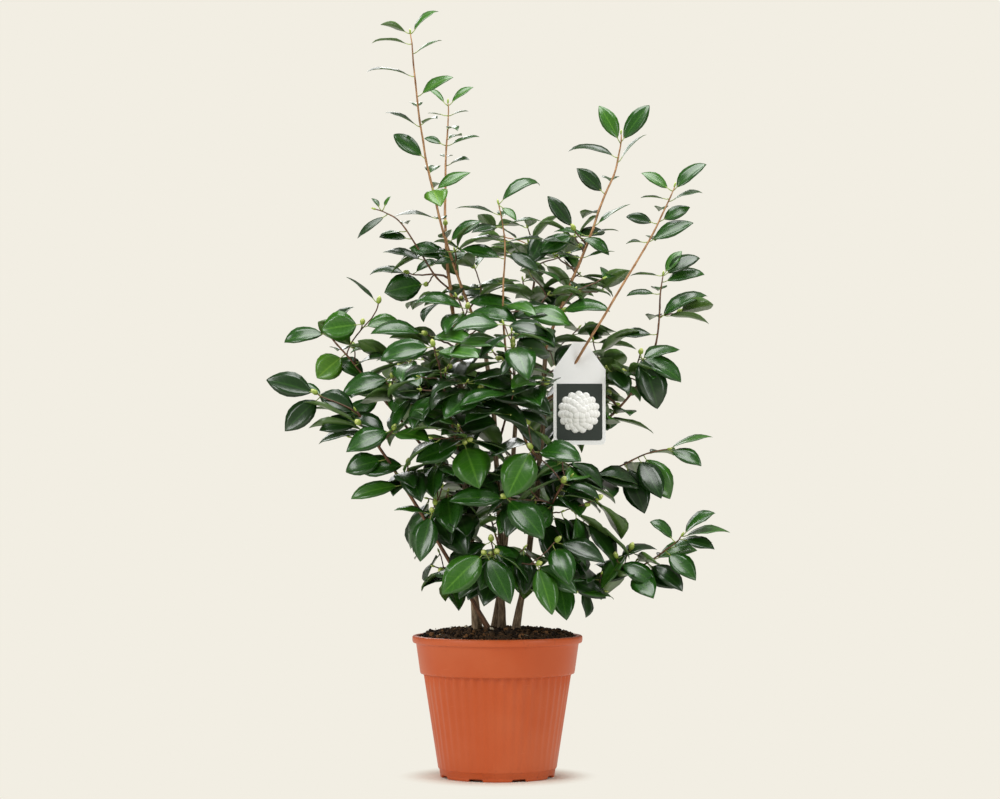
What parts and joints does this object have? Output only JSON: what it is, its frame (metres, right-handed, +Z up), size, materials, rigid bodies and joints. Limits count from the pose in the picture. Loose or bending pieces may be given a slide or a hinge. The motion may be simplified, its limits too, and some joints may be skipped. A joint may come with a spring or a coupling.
{
  "type": "camellia shrub in a pot",
  "caption": "Evergreen shrub with slender upright stems, arching boughs and sprays of glossy oval leaves, rooted in a tapered flower pot, with a plain hanging label.",
  "frame": {"origin": "centre of the pot's flat underside", "axes": "+Z up along the stems, -Y towards the front where the label hangs, +X to the right seen from the front"},
  "size_m": [0.6927, 0.4448, 1.1695],
  "materials": {
    "pot_plastic": "satin",
    "potting_soil": "matte",
    "stem_bark": "matte",
    "shoot_bark": "satin",
    "leaf_green": "gloss",
    "label_plastic": "satin"
  },
  "bodies": {
    "root": {"pot": "pot_plastic", "soil": "potting_soil", "stem_left": "stem_bark", "stem_thin": "stem_bark", "stem_middle": "stem_bark", "stem_right": "stem_bark", "stem_back": "stem_bark", "leader_left": "shoot_bark", "leader_middle": "shoot_bark", "leader_right": "shoot_bark", "leader_back": "shoot_bark", "shoot_centre": "shoot_bark", "bough_left_long": "shoot_bark", "bough_left_upper": "shoot_bark", "bough_right_label": "shoot_bark", "bough_right_outer": "shoot_bark", "bough_right_middle": "shoot_bark", "bough_right_low": "shoot_bark", "bough_front_left": "shoot_bark", "bough_front_middle": "shoot_bark", "bough_front_right": "shoot_bark", "bough_front_low": "shoot_bark", "bough_back_left": "shoot_bark", "bough_back_right": "shoot_bark", "bough_back_low": "shoot_bark", "label_card": "label_plastic", "crown_upper_left": "leaf_green", "crown_upper_right": "leaf_green", "crown_middle_left": "leaf_green", "crown_middle_right": "leaf_green", "crown_front_left": "leaf_green", "crown_front_middle": "leaf_green", "crown_lower_left": "leaf_green", "crown_lower_right": "leaf_green", "crown_back_left": "leaf_green", "crown_back_right": "leaf_green", "crown_back_top": "leaf_green", "crown_back_low": "leaf_green", "skirt_left": "leaf_green", "skirt_front": "leaf_green", "skirt_right": "leaf_green", "foliage_middle_top": "leaf_green", "foliage_middle_high": "leaf_green", "foliage_left_top": "leaf_green", "foliage_centre_top": "leaf_green", "foliage_right_top": "leaf_green", "foliage_right_high": "leaf_green", "foliage_label_top": "leaf_green", "foliage_outer_top": "leaf_green", "foliage_left_upper": "leaf_green", "foliage_left_fork": "leaf_green", "foliage_left_tip": "leaf_green", "foliage_left_long": "leaf_green", "foliage_thin_tip": "leaf_green", "foliage_thin_middle": "leaf_green", "foliage_thin_low": "leaf_green", "foliage_low_middle": "leaf_green", "foliage_low_tip": "leaf_green", "foliage_middle_hang": "leaf_green", "foliage_middle_tip": "leaf_green"}
  },
  "joints": []
}
